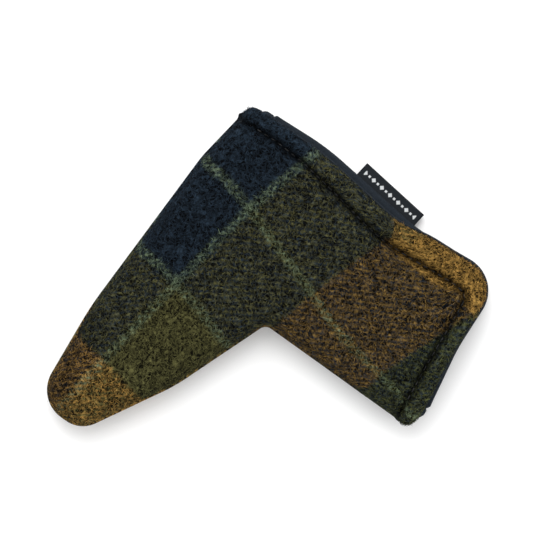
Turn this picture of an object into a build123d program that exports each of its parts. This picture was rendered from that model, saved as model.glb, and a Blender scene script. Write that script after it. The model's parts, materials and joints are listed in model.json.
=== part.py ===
"""Padded wool cover for a blade putter head, in millimetres.

The cover lies flat. One arm, the toe arm, points along -Y and holds the blade. The other, the shaft
arm, points along +X and holds the hosel and the bottom of the shaft. A front and a back panel are sewn
together round the toe arm, the notch and the lower edge of the shaft arm, and stay open along the
mouth: the top edge and the shaft end. Each panel is wool outside, foam in the middle and fleece
inside. The origin is on the table, on the shaft arm's centre line. +Z points up.

The mouth opens along a straight fold between the two ends of the sewn seam. The panels are cut there,
so that each flap can turn about the fold, with the cloth standing in for a hinge.
"""

import os
from math import atan2, cos, degrees, hypot, radians, sin

from build123d import *

# ---- overall sizes ----
total_thickness = 26.0
heel_reach = 41.0  # origin to the outer edge of the toe arm
toe_reach = 128.0  # shaft arm's centre line to the toe tip
mouth_reach = 113.5  # origin to the lower end of the mouth
arm_half_width = 41.0  # half the width of the shaft arm

# ---- plan shape ----
heel_lean = 4.5  # the outer edge leans in by this much at the top
toe_width = 26.5  # across the toe tip, between the corners before rounding
toe_outer_radius = 0.63 * toe_width
toe_inner_radius = 0.49 * toe_width
toe_bend_from_heel = 53.0  # the toe arm's inner edge bends here, this far from the outer edge
toe_bend_from_tip = 48.0
toe_bend_radius = 90.0
notch_from_heel = 70.0  # the inside corner between the arms
notch_rise = 2.0  # the notch is this much higher than the mouth's lower end
notch_radius = 5.0
mouth_lean = 8.0  # the shaft end leans in by this much at the top
upper_corner_drop = 2.0
upper_corner_radius = 14.0
crest_from_heel = 49.0  # the top edge rises to a crest, then falls to a dip
crest_rise = 2.0
crest_radius = 120.0
dip_from_mouth = 51.5
dip_drop = 5.5
dip_radius = 80.0
edge_radius = min(0.42 * total_thickness, 0.85 * toe_inner_radius)  # sewn edges, seen from the side
mouth_end_radius = edge_radius + 1.0

# ---- layers of each panel ----
wool_thickness = 1.8
foam_thickness = 2.4
lining_thickness = 1.8

# ---- mouth ----
back_setback = 1.2  # how far each wool hem stands in from the outline
front_setback = 3.5
lining_lip = 1.2  # how far the lining shows past its hem
stitch_inset = 13.0  # outline to the line of stitches
flap_droop = 7.0  # degrees that the front flap hangs down towards the back
fold_clearance = 0.3
fold_end_margin = 1.0  # the fold starts this far inside the rounded sewn edge

# ---- stitching ----
thread_diameter = 0.6
thread_clearance = 0.05
stitch_diameter = 0.7
stitch_length = 2.8
stitch_pitch = 3.8
groove_width = 2.2
groove_depth = 1.0
stitch_sink = 0.55  # depth of a stitch's centre under the cloth's face
seam_start = 4.5  # the sewn seams begin this far inside the mouth

# ---- closing magnets, in sleeves in the hem ----
magnet_length = 16.0
magnet_width = 4.0
magnet_thickness = 1.4
sleeve_wall = 0.3
sleeve_play = 0.05
magnet_from_wall = 0.5  # between the turned hem and the sleeve
magnet_stations = (0.41, 0.61, 0.81)  # along the top edge, as shares of its length

# ---- label ----
label_width = 35.5
label_height = 6.4  # of the part that bends
label_thickness = 0.7
label_tail_depth = 4.5  # held inside the seam
label_root = 1.2  # from the outline to the line where it bends
label_gap = 0.5  # from the bending line to each side of it
label_from_crest = 35.0
label_slot_play = 0.1

# ---- working values ----
OVERRUN = 25.0  # the layers run on past the mouth by this much before they are trimmed
FAR = 400.0
MID_HEIGHT = total_thickness / 2
SEWN, MOUTH = "sewn", "mouth"

# Corners run anticlockwise from the heel end of the mouth: x, y, radius, kind of the edge that follows.
CORNERS = [
    (-heel_reach + heel_lean, arm_half_width, mouth_end_radius, SEWN),
    (-heel_reach, -toe_reach, toe_outer_radius, SEWN),
    (-heel_reach + toe_width, -toe_reach, toe_inner_radius, SEWN),
    (-heel_reach + toe_bend_from_heel, -toe_reach + toe_bend_from_tip, toe_bend_radius, SEWN),
    (-heel_reach + notch_from_heel, -arm_half_width + notch_rise, notch_radius, SEWN),
    (mouth_reach, -arm_half_width, mouth_end_radius, MOUTH),
    (mouth_reach - mouth_lean, arm_half_width - upper_corner_drop, upper_corner_radius, MOUTH),
    (mouth_reach - dip_from_mouth, arm_half_width - dip_drop, dip_radius, MOUTH),
    (-heel_reach + crest_from_heel, arm_half_width + crest_rise, crest_radius, MOUTH),
]
HEEL, LOWER, UPPER, DIP, CREST = 0, 5, 6, 7, 8


def direction(start, end):
    """Unit vector from one point to another, in plan."""
    dx, dy = end[0] - start[0], end[1] - start[1]
    length = hypot(dx, dy)
    return dx / length, dy / length


def moved_in(corners, insets):
    """Corner points and radii after each edge has moved in by its own inset. Arcs keep their centres."""
    points, radii = [], []
    for i, (x, y, radius, kind) in enumerate(corners):
        before, after = corners[i - 1], corners[(i + 1) % len(corners)]
        ux, uy = direction(before, (x, y))
        vx, vy = direction((x, y), after)
        turn = ux * vy - uy * vx
        a, b = insets[i - 1], insets[i]
        points.append((x + (a * vx - b * ux) / turn, y + (a * vy - b * uy) / turn))
        if corners[i - 1][3] != kind:
            radii.append(radius)
        else:
            radii.append(max(radius - a if turn > 0 else radius + a, 0.5))
    return points, radii


def outline_insets(sewn, mouth):
    return [sewn if kind == SEWN else mouth for *_, kind in CORNERS]


def rounded_face(points, radii):
    return make_face(FilletPolyline(*points, radius=radii, close=True))


def pillow(depth):
    """The closed outer form, taken in by depth all over, and running on past the mouth."""
    face = rounded_face(*moved_in(CORNERS, outline_insets(depth, -OVERRUN)))
    block = Pos(0, 0, depth) * extrude(face, total_thickness - 2 * depth)
    rims = block.faces().sort_by(Axis.Z)
    return fillet(rims[0].edges() + rims[-1].edges(), edge_radius - depth)


def inside_mouth(inset):
    """Everything on the cover's side of the mouth line, moved in by inset."""
    crest, heel, lower, upper = CORNERS[CREST], CORNERS[HEEL], CORNERS[LOWER], CORNERS[UPPER]
    along_top = direction(crest, heel)
    along_end = direction(upper, lower)
    reach = 2 * OVERRUN
    ring = [
        (heel[0] + reach * along_top[0], heel[1] + reach * along_top[1], 1.0, SEWN),
        (-FAR, -FAR, 1.0, SEWN),
        (lower[0] + reach * along_end[0], lower[1] + reach * along_end[1], 1.0, MOUTH),
        CORNERS[UPPER],
        CORNERS[DIP],
        CORNERS[CREST],
    ]
    insets = [inset if kind == MOUTH else 0.0 for *_, kind in ring]
    face = rounded_face(*moved_in(ring, insets))
    return Pos(0, 0, -1) * extrude(face, total_thickness + 2)


def slab(low, high):
    """Everything between two heights."""
    return Pos(0, 0, (low + high) / 2) * Box(2 * FAR, 2 * FAR, high - low)


def half(name):
    return slab(MID_HEIGHT, total_thickness + 1) if name == "front" else slab(-1, MID_HEIGHT)


# ---- the fold line, between the ends of the sewn seam ----
def fold_ends():
    points, _ = moved_in(CORNERS, outline_insets(edge_radius + fold_end_margin, 0.0))
    return points[HEEL], points[LOWER]


fold_start, fold_end = fold_ends()
FOLD = direction(fold_start, fold_end)
FOLD_NORMAL = (-FOLD[1], FOLD[0])
FOLD_ANGLE = degrees(atan2(FOLD[1], FOLD[0]))
panel_thickness = wool_thickness + foam_thickness + lining_thickness
droop_room = panel_thickness * sin(radians(flap_droop))


def beyond_fold(gap):
    """The flaps' side of the fold, from gap past it."""
    return Pos(*fold_start, 0) * Rot(0, 0, FOLD_ANGLE) * Pos(0, gap + FAR / 2, 0) * Box(2 * FAR, FAR, FAR)


def before_fold(gap):
    """The pocket's side of the fold, up to gap short of it."""
    return Pos(*fold_start, 0) * Rot(0, 0, FOLD_ANGLE) * Pos(0, -gap - FAR / 2, 0) * Box(2 * FAR, FAR, FAR)


def from_fold(point):
    """Distance of a plan point beyond the fold."""
    return (point[0] - fold_start[0]) * FOLD_NORMAL[0] + (point[1] - fold_start[1]) * FOLD_NORMAL[1]


FLAP_GAP = {"front": fold_clearance + droop_room, "back": fold_clearance}
FRONT_HINGE = Axis((*fold_start, total_thickness), (*FOLD, 0))


def hung(name, shape):
    """A flap's piece in its place at rest: the front flap hangs down, and the back one lies flat."""
    return shape.rotate(FRONT_HINGE, -flap_droop) if name == "front" else shape


# ---- stitches, threads, magnets and label, all placed from the mouth line ----
def mouth_path(inset, ends):
    """The mouth line moved in by inset, from the shaft end's lower corner round to the heel."""
    points, radii = moved_in(CORNERS, outline_insets(ends, inset))
    order = [LOWER, UPPER, DIP, CREST, HEEL]
    return FilletPolyline(*[points[i] for i in order], radius=[radii[i] for i in order[1:-1]])


def seam_path(inset):
    """The sewn edge moved in by inset, from the heel round the toe to the shaft end."""
    points, radii = moved_in(CORNERS, outline_insets(inset, seam_start))
    order = range(HEEL, LOWER + 1)
    wire = FilletPolyline(*[points[i] for i in order], radius=[radii[i] for i in order[1:-1]])
    return Pos(0, 0, MID_HEIGHT) * wire


def seam_cord(inset, radius):
    """A round cord along the sewn edge."""
    path = seam_path(inset)
    section = Plane(origin=path @ 0, z_dir=path % 0) * Circle(radius)
    return sweep(section, path=path)


def stitches(face_height, into_cloth):
    """One row of stitches in its groove: a list of (distance beyond the fold, stitch)."""
    path = mouth_path(stitch_inset, edge_radius)
    count = int(path.length / stitch_pitch)
    height = face_height + into_cloth * stitch_sink
    row = []
    for k in range(count):
        spot, heading = path @ ((k + 0.5) / count), path % ((k + 0.5) / count)
        turn = degrees(atan2(heading.Y, heading.X))
        place = Pos(spot.X, spot.Y, height) * Rot(0, 0, turn) * Rot(0, 90, 0)
        bar = place * Cylinder(stitch_diameter / 2, stitch_length)
        row.append((from_fold((spot.X, spot.Y)), bar))
    return row


def stitch_groove(face_height):
    """The groove that a row of stitches lies in, cut into the face at that height."""
    band = inside_mouth(stitch_inset - groove_width / 2) - inside_mouth(stitch_inset + groove_width / 2)
    return band & slab(face_height - groove_depth, face_height + groove_depth)


sleeve_length = magnet_length + 2 * (sleeve_wall + sleeve_play)
sleeve_width = magnet_width + 2 * (sleeve_wall + sleeve_play)
sleeve_thickness = magnet_thickness + 2 * (sleeve_wall + sleeve_play)
MAGNET_INSET = front_setback + wool_thickness + magnet_from_wall + sleeve_width / 2


def magnet_places(name):
    """Where each magnet's centre goes in one panel, in the middle of the foam."""
    depth = wool_thickness + foam_thickness / 2
    height = total_thickness - depth if name == "front" else depth
    points, _ = moved_in(CORNERS, outline_insets(edge_radius, MAGNET_INSET))
    path = FilletPolyline(
        *[points[i] for i in (HEEL, CREST, DIP, UPPER)],
        radius=[CORNERS[CREST][2] - MAGNET_INSET, CORNERS[DIP][2] + MAGNET_INSET],
    )
    places = []
    for share in magnet_stations:
        spot, heading = path @ share, path % share
        places.append(Pos(spot.X, spot.Y, height) * Rot(0, 0, degrees(atan2(heading.Y, heading.X))))
    return places


def magnet():
    return Box(magnet_length, magnet_width, magnet_thickness)


def sleeve():
    inner = [size + 2 * sleeve_play for size in (magnet_length, magnet_width, magnet_thickness)]
    return Box(sleeve_length, sleeve_width, sleeve_thickness) - Box(*inner)


def sleeve_room():
    play = 2 * sleeve_play
    return Box(sleeve_length + play, sleeve_width + play, foam_thickness + 2 * sleeve_play)


LABEL_HEADING = direction(CORNERS[CREST], CORNERS[DIP])
LABEL_MID_HEIGHT = wool_thickness + foam_thickness - label_thickness / 2


def label_place():
    """The label's frame: X along the mouth edge, Y outwards, at the middle of its thickness."""
    x = CORNERS[CREST][0] + label_from_crest * LABEL_HEADING[0]
    y = CORNERS[CREST][1] + label_from_crest * LABEL_HEADING[1]
    return Pos(x, y, LABEL_MID_HEIGHT) * Rot(0, 0, degrees(atan2(LABEL_HEADING[1], LABEL_HEADING[0])))


def label_strip(start, end, extra=0.0):
    """A flat stretch of the label between two distances from the outline."""
    size = (label_width + 2 * extra, end - start, label_thickness + 2 * extra)
    return label_place() * Pos(0, (start + end) / 2, 0) * Box(*size)


def woven_label():
    """The part of the folded ribbon that stands out and bends, with its fold rounded."""
    strip = label_strip(label_root + label_gap, label_root + label_height)
    outer = label_place() * Pos(0, label_root + label_height, 0)
    fold_edges = strip.edges().sort_by_distance(outer.position + Vector(0, 0, label_thickness))[:1]
    fold_edges += strip.edges().sort_by_distance(outer.position - Vector(0, 0, label_thickness))[:1]
    return fillet(fold_edges, label_thickness * 0.4)


def label_tail():
    return label_strip(-label_tail_depth, label_root - label_gap)


# ---- panels ----
def one(shape):
    """The shape's solids as one part, to export."""
    return Compound(children=list(shape.solids()))


def panel_layers():
    """Wool, foam and lining of both panels before they are cut at the fold."""
    skin = [pillow(depth) for depth in (
        0.0,
        wool_thickness,
        wool_thickness + foam_thickness,
        panel_thickness,
    )]
    wool, foam, lining = (skin[i] - skin[i + 1] for i in range(3))
    outer_channel = seam_cord(wool_thickness / 2, thread_diameter / 2 + thread_clearance)
    lining_channel = seam_cord(panel_thickness - lining_thickness / 2, thread_diameter / 2 + thread_clearance)
    layers = {}
    for name, setback, outer_face, inner_face in (
        ("front", front_setback, total_thickness, total_thickness - panel_thickness),
        ("back", back_setback, 0.0, panel_thickness),
    ):
        hem = inside_mouth(setback)
        behind_hem = inside_mouth(setback + wool_thickness)
        side = half(name)
        turned_edge = (foam & side & hem) - behind_hem
        wool_panel = (wool & side & hem) + turned_edge
        foam_panel = foam & side & behind_hem
        lining_panel = lining & side & inside_mouth(setback - lining_lip)
        wool_panel = wool_panel - stitch_groove(outer_face) - outer_channel
        lining_panel = lining_panel - stitch_groove(inner_face) - lining_channel
        for place in magnet_places(name):
            foam_panel -= place * sleeve_room()
        if name == "back":
            slot = label_strip(-label_tail_depth - label_slot_play, label_root, label_slot_play)
            slot &= slab(0, wool_thickness + foam_thickness)
            wool_panel -= slot
            foam_panel -= slot
        layers[name] = {"wool": wool_panel, "padding": foam_panel, "lining": lining_panel}
    return layers


def build():
    parts = {}
    for name, layers in panel_layers().items():
        for layer, panel in layers.items():
            parts[f"{name}_{layer}_pocket"] = panel & before_fold(fold_clearance)
            parts[f"{name}_{layer}_flap"] = hung(name, panel & beyond_fold(FLAP_GAP[name]))

        outer_face = total_thickness if name == "front" else 0.0
        inward = -1 if name == "front" else 1
        rows = stitches(outer_face, inward) + stitches(outer_face + inward * panel_thickness, -inward)
        room = stitch_length / 2 + FLAP_GAP[name]
        on_flap = [bar for distance, bar in rows if distance > room]
        on_pocket = [bar for distance, bar in rows if distance < -room]
        parts[f"{name}_hem_stitching"] = hung(name, Compound(children=on_flap))
        parts[f"{name}_hem_end_stitching"] = Compound(children=on_pocket)

        for number, place in enumerate(magnet_places(name), 1):
            parts[f"{name}_magnet_{number}"] = hung(name, place * magnet())
            parts[f"{name}_magnet_sleeve_{number}"] = hung(name, place * sleeve())

    parts["outer_seam_thread"] = seam_cord(wool_thickness / 2, thread_diameter / 2)
    parts["lining_seam_thread"] = seam_cord(panel_thickness - lining_thickness / 2, thread_diameter / 2)
    parts["woven_label"] = woven_label()
    parts["label_tail"] = label_tail()
    return parts


os.makedirs("parts", exist_ok=True)
for node, shape in build().items():
    export_step(one(shape), f"parts/{node}.step")

hinge_y = CORNERS[CREST][1] + label_from_crest * LABEL_HEADING[1] + label_root * LABEL_HEADING[0]
hinge_x = CORNERS[CREST][0] + label_from_crest * LABEL_HEADING[0] - label_root * LABEL_HEADING[1]
print("fold from", fold_start, "to", fold_end, "along", FOLD)
print("label bends about", (hinge_x, hinge_y, LABEL_MID_HEIGHT), "along", LABEL_HEADING)
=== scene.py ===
# %% [markdown]
# # A padded wool cover for a blade putter
#
# The cover is a flat, padded L of brushed tartan wool with a dark fleece lining. It is open along its
# hemmed top edge and its shaft end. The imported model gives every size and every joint. This lesson
# adds what the eye sees: the swell of the padding, the sunken topstitching, the cloth and its nap.
#
# Shapes are worked out in millimetres and turned to metres when a mesh is made.

# %% Load the frame
import json
from math import cos, radians, sin, tan

import bpy
import numpy as np
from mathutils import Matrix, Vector
from mathutils.bvhtree import BVHTree


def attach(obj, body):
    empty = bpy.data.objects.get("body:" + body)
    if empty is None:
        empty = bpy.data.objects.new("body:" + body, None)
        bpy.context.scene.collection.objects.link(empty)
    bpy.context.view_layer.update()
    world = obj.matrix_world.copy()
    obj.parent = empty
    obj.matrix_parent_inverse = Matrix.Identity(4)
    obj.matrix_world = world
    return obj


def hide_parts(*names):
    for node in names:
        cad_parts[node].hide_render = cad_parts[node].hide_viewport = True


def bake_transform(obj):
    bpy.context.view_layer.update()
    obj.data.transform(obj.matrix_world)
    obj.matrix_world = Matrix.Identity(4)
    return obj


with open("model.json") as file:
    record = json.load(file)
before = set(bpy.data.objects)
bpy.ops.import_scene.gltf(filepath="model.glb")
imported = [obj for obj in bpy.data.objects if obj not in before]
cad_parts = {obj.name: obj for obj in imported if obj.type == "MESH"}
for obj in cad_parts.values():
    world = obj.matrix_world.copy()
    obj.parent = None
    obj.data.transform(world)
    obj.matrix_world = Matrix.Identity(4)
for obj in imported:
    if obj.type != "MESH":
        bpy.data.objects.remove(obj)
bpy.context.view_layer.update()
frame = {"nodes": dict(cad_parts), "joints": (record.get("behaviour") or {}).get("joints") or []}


MM = 0.001

# %% [markdown]
# ## Camera and light
#
# The cover lies on a pale floor and is seen from straight above, turned so that the toe arm points to
# the lower left. A long lens from 1.5 m keeps the sides from showing. One large soft lamp stands off the
# heel side, and a pale sky fills the shadows. The standard view transform keeps the cloth's own colours.

# %% Camera
VIEW_CENTRE = (14.3, -17.2, 14.0)
VIEW_WIDTH = 245.2
VIEW_TURN = radians(34.5)
CAMERA_HEIGHT = 1500.0
SENSOR = 36.0

scene = bpy.context.scene
camera = bpy.data.objects.new("camera", bpy.data.cameras.new("camera"))
scene.collection.objects.link(camera)
camera.data.sensor_width = SENSOR
camera.data.lens = SENSOR * CAMERA_HEIGHT / VIEW_WIDTH
camera.location = (Vector(VIEW_CENTRE) + Vector((0, 0, CAMERA_HEIGHT))) * MM
camera.rotation_euler = (0, 0, VIEW_TURN)
scene.camera = camera
print("lens of", round(camera.data.lens), "mm")


# %% [markdown]
# ## Light
#
# A square area lamp over a metre wide, not far off, gives soft shadow edges like a studio softbox. The
# world is an even white that fills the shadows.

# %% Light and floor
def lamp(name, size, power, direction, distance):
    """A square area lamp that looks at the cover's middle from a direction."""
    data = bpy.data.lights.new(name, "AREA")
    data.size = size
    data.energy = power
    made = bpy.data.objects.new(name, data)
    scene.collection.objects.link(made)
    towards = Vector(direction).normalized()
    made.location = Vector(VIEW_CENTRE) * MM + towards * distance
    made.rotation_euler = towards.to_track_quat("Z", "Y").to_euler()
    return made


KEY_TURN = radians(132.0)
lamp("key_lamp", 1.1, 15.0, (cos(KEY_TURN), sin(KEY_TURN), 1.5), 1.35)

world = bpy.data.worlds.new("studio")
scene.world = world
world.use_nodes = True
world.node_tree.nodes["Background"].inputs["Color"].default_value = (1.0, 1.0, 1.0, 1.0)
world.node_tree.nodes["Background"].inputs["Strength"].default_value = 1.05
scene.view_settings.view_transform = "Standard"

# %% [markdown]
# ## Materials: helpers
#
# Colours are written as sRGB hex values, as a dyer's card or a screen shows them, and one function turns
# them to the linear values that a renderer works in. One function adds a node with its settings and
# links, so that a material reads as a list of steps.


# %% Colour and node helpers
def linear(hex_colour):
    """An sRGB hex colour as linear red, green, blue and alpha."""
    value = np.array([int(hex_colour[i:i + 2], 16) for i in (1, 3, 5)]) / 255
    value = np.where(value <= 0.04045, value / 12.92, ((value + 0.055) / 1.055) ** 2.4)
    return (*(float(v) for v in value), 1.0)


def add(tree, kind, inputs=None, **settings):
    """Adds a node. An input given as a node takes that node's first output, and any other is set."""
    made = tree.nodes.new(kind)
    for name, value in settings.items():
        setattr(made, name, value)
    for name, value in (inputs or {}).items():
        if isinstance(value, bpy.types.Node):
            value = value.outputs[0]
        if isinstance(value, bpy.types.NodeSocket):
            tree.links.new(value, made.inputs[name])
        else:
            made.inputs[name].default_value = value
    return made


def new_material(name):
    """A material with only its shader and output. Returns the material, its tree and its shader."""
    material = bpy.data.materials.new(name)
    material.use_nodes = True
    tree = material.node_tree
    tree.nodes.clear()
    shader = add(tree, "ShaderNodeBsdfPrincipled")
    add(tree, "ShaderNodeOutputMaterial", {"Surface": shader})
    return material, tree, shader


# %% [markdown]
# ## Floor
#
# A sheet of white paper under the cover. It is matt, so it shows a soft shadow and no reflection.

# %% Floor
floor_material, tree, shader = new_material("painted_paper_floor")
shader.inputs["Base Color"].default_value = linear("#f7f7f7")
shader.inputs["Roughness"].default_value = 0.9
FLOOR_HALF = 3.0
bpy.ops.mesh.primitive_plane_add(size=2 * FLOOR_HALF, location=(0, 0, -0.0003))
floor = bpy.context.object
floor.name = "floor"
floor.data.materials.append(floor_material)

# %% [markdown]
# ## The outline
#
# Both panels are cut to the same L, and only the hemmed mouth differs: the front's hem stands a little
# inside the back's. Each panel's outline is a ring of straight edges with rounded corners. Every layer
# follows it at its own distance, so one function gives the outline moved in by any amount, with the same
# number of points on each stretch. Points with the same number on two such lines lie side by side, and
# a profile can be carried round the ring by joining them.

# %% Corners of each panel
# Anticlockwise from the heel end of the mouth: x, y, radius, and the kind of edge that follows.
SEWN, MOUTH = 0, 1
NAMES = ["heel", "shoulder", "flank", "toe_out", "toe_in", "bend", "notch", "lower", "waist", "upper",
         "rise", "dip", "crest"]
SEWN_CORNERS = [(-38.4, 8, 60), (-41.5, -78, 150), (-38.0, -127.4, 15), (-14.0, -127.6, 13),
                (10.0, -86.5, 90), (28.8, -39.0, 5)]
MOUTH_CORNERS = {
    "front": [(-33.4, 39.6, 4.5), (111.2, -41.4, 5.5), (106.3, 3, 80), (105.0, 37.7, 13.5),
              (69.0, 36.3, 60), (52.0, 33.2, 50), (8.0, 39.3, 120)],
    "back": [(-33.0, 41.4, 4.5), (114.3, -40.6, 9.0), (107.6, 2, 80), (106.5, 39.0, 15.5),
             (76.0, 36.7, 60), (62.0, 35.6, 60), (6.0, 43.0, 120)],
}


def panel_corners(side):
    """All corners of a panel, anticlockwise."""
    heel, lower, *rest = MOUTH_CORNERS[side]
    corners = [(*heel, SEWN)] + [(*c, SEWN) for c in SEWN_CORNERS] + [(*lower, MOUTH)]
    return corners + [(*c, MOUTH) for c in rest]


# How many steps each corner's arc and the straight edge after it are divided into.
# The inner side, from toe_in to lower, has as many steps as the outer side, from toe_out back to upper,
# and the toe tip has as many as the shaft end, so that points face each other across each arm.
ARC_STEPS = dict(heel=16, shoulder=6, flank=8, toe_out=28, toe_in=26, bend=10, notch=30, lower=20,
                 waist=8, upper=24, rise=6, dip=6, crest=12)
EDGE_STEPS = dict(heel=20, shoulder=58, flank=34, toe_out=48, toe_in=50, bend=52, notch=112, lower=27,
                  waist=13, upper=16, rise=8, dip=28, crest=30)


def ring(side, sewn, mouth):
    """The panel's outline with its sewn edges moved in by one distance and its mouth by another.

    A moved corner is where its two moved edges cross. Its arc keeps the same centre, so an outer arc
    shrinks by the distance moved in, and an inner one grows. Returns a closed line of plan points.
    """
    corners = panel_corners(side)
    count = len(corners)
    moved, radii, headings = [], [], []
    for i, (x, y, radius, kind) in enumerate(corners):
        before = corners[i - 1]
        after = corners[(i + 1) % count]
        into = np.array([x - before[0], y - before[1]])
        out = np.array([after[0] - x, after[1] - y])
        into, out = into / np.linalg.norm(into), out / np.linalg.norm(out)
        turn = into[0] * out[1] - into[1] * out[0]
        a, b = (mouth if k == MOUTH else sewn for k in (before[3], kind))
        moved.append(np.array([x, y]) + (a * out - b * into) / turn)
        shift = (a + b) / 2
        radii.append(max(radius - shift if turn > 0 else radius + shift, 0.25))
        headings.append((into, out, turn))
    line = []
    starts, ends = [], []
    for corner, radius, (into, out, turn) in zip(moved, radii, headings):
        reach = radius * abs(turn) / (1 + into @ out)
        starts.append(corner - reach * into)
        ends.append(corner + reach * out)
    for i, name in enumerate(NAMES):
        into, out, turn = headings[i]
        angle = np.arctan2(turn, into @ out)
        left = np.array([-into[1], into[0]]) * np.sign(turn)
        centre = starts[i] + radii[i] * left
        sweep = np.linspace(0, angle, ARC_STEPS[name] + 1)[:, None]
        arm = starts[i] - centre
        across = np.array([-arm[1], arm[0]])
        arc = centre + arm * np.cos(sweep) + across * np.sin(sweep)
        share = np.linspace(0, 1, EDGE_STEPS[name] + 1)[:, None]
        edge = ends[i] * (1 - share) + starts[(i + 1) % count] * share
        line += [arc[:-1], edge[:-1]]
    return np.concatenate(line)


def places():
    """Where each arc and each edge starts in the ring."""
    found, at = {}, 0
    for name in NAMES:
        for stretch, steps in (("arc", ARC_STEPS), ("edge", EDGE_STEPS)):
            found[name, stretch] = at
            at += steps[name]
    return found, at


PLACE, RING = places()
ACROSS = EDGE_STEPS["toe_out"]
INNER = np.arange(PLACE["toe_in", "arc"], PLACE["lower", "edge"] + 1)
OUTER = np.arange(PLACE["toe_out", "edge"], PLACE["upper", "arc"] - RING - 1, -1) % RING
SHAFT_END = np.arange(PLACE["lower", "edge"], PLACE["upper", "arc"] + 1)
ALONG = len(INNER) - 1
print("ring of", RING, "points;", ALONG, "steps along the inner side,", len(OUTER) - 1,
      "along the outer side,", len(SHAFT_END) - 1, "across the shaft end")

# %% [markdown]
# ## From outline to panel
#
# On the real cover a panel is sewn flat and its padding swells it, so it is thick in the middle and
# rolls over at its edges. Here each kind of edge has a profile: how far in from the edge, and how high,
# as the cloth goes from its hidden end up over the roll and onto the flat. Row by row, the outline at
# that inset is one line of the surface. Past the last row a grid of straight lines runs across each arm.


# %% Smooth curves and waves
def smooth_curve(points, count):
    """A smooth line through points that are given with their place along it, from 0 to 1.

    Cubic pieces join the points, and the slope at each is that of the line between its neighbours.
    """
    points = np.array(points, float)
    at, values = points[:, 0], points[:, 1:]
    slopes = np.gradient(values, at, axis=0)
    where = np.linspace(0, 1, count)
    i = np.clip(np.searchsorted(at, where, "right") - 1, 0, len(at) - 2)
    step = (at[i + 1] - at[i])[:, None]
    t = ((where - at[i]) / (at[i + 1] - at[i]))[:, None]
    return ((1 + 2 * t) * (1 - t) ** 2 * values[i] + t * (1 - t) ** 2 * step * slopes[i]
            + t * t * (3 - 2 * t) * values[i + 1] - t * t * (1 - t) * step * slopes[i + 1])


def smoothstep(low, high, value):
    """0 below low and 1 above high, with a soft rise between."""
    t = np.clip((value - low) / (high - low), 0, 1)
    return t * t * (3 - 2 * t)


def ripple(points, wavelength, seed, waves=14):
    """A smooth random wave of about that wavelength: a sum of plane waves in random directions."""
    rng = np.random.default_rng(seed)
    headings = rng.uniform(0, 2 * np.pi, waves)
    lengths = wavelength * rng.uniform(0.7, 1.5, waves)
    vectors = np.stack([np.cos(headings), np.sin(headings)]) * 2 * np.pi / lengths
    phases = rng.uniform(0, 2 * np.pi, waves)
    return np.cos(points[:, :2] @ vectors + phases).sum(1) / np.sqrt(waves / 2)


# %% [markdown]
# ## The fold
#
# Cloth has no hinge: the flap bends wherever it is pushed. A straight line between the ends of the seam
# is the simplest fold, and the height falls off softly past it, so that no crease shows at rest.

# %% The fold and the front flap's droop
# The flaps turn about a straight line between the two ends of the sewn seam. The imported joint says
# where it is. Beyond it the front panel hangs down towards the back one.
FOLD_JOINT = next(j for j in frame["joints"] if j["name"] == "front_flap_fold")
FOLD_AT = np.array(FOLD_JOINT["pos_m"][:2]) / MM
FOLD_NORMAL = np.array([-FOLD_JOINT["axis"][1], FOLD_JOINT["axis"][0]])
THICKNESS = FOLD_JOINT["pos_m"][2] / MM
MIDDLE = THICKNESS / 2
DROOP = tan(radians(7.0))
FOLD_SOFTNESS = 5.0


def beyond_fold(points):
    """How far plan points lie beyond the fold."""
    return (points[..., :2] - FOLD_AT) @ FOLD_NORMAL


def top_height(points, side):
    """Height of a panel's outer face above the middle plane, before swelling.

    The back is level. The front falls past the fold, by the droop times a ramp that starts softly.
    """
    if side == "back":
        return np.full(points.shape[:-1], MIDDLE)
    return MIDDLE - DROOP * FOLD_SOFTNESS * np.logaddexp(0, beyond_fold(points) / FOLD_SOFTNESS)


def distance_to_line(points, line):
    """Distance of plan points to the nearest part of a line of points, signed positive on its left."""
    best = np.full(len(points), 1e9)
    side = np.ones(len(points))
    for start, end in zip(line[:-1], line[1:]):
        along = end - start
        t = np.clip(((points - start) @ along) / (along @ along), 0, 1)
        gap = points - start - t[:, None] * along
        reach = np.linalg.norm(gap, axis=1)
        nearer = reach < best
        cross = along[0] * gap[:, 1] - along[1] * gap[:, 0]
        side[nearer] = np.sign(cross[nearer] + 1e-12)
        best[nearer] = reach[nearer]
    return best * side


# %% [markdown]
# ## One builder for every layer
#
# Wool, foam and lining are cut to one outline, so one function makes all their faces from two profiles.
# Only the profiles differ, and the layers stay in step with each other.

# %% Panel builder
HEM_SET = {"front": 0.3, "back": 1.5}  # from each outline to its wool hem, which leaves room for the lip
SEAM_SET = 0.45  # from the outline to the wool's roll at the sewn edge, which leaves room for the nap
MOUTH_ENDS_BLEND = 15.0  # the lips close over this distance at each end of the mouth
REST_HEIGHT = 0.02  # nothing goes lower than this, since the cover rests on its back


def mouth_share(side):
    """For each ring point, 1 where the edge is an open lip and 0 where it is sewn shut."""
    edge = ring(side, 0, 0)
    on_mouth = np.zeros(RING, bool)
    on_mouth[PLACE["lower", "arc"]:] = True
    on_mouth[:PLACE["heel", "edge"]] = True
    heel_line = edge[PLACE["heel", "edge"]]
    lower_line = edge[PLACE["lower", "arc"]]
    from_heel = edge[:, 0] - heel_line[0]
    from_lower = edge[:, 1] - lower_line[1]
    near = np.minimum(from_heel, from_lower)
    return np.where(on_mouth, smoothstep(1.0, MOUTH_ENDS_BLEND, near), 0.0)


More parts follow.
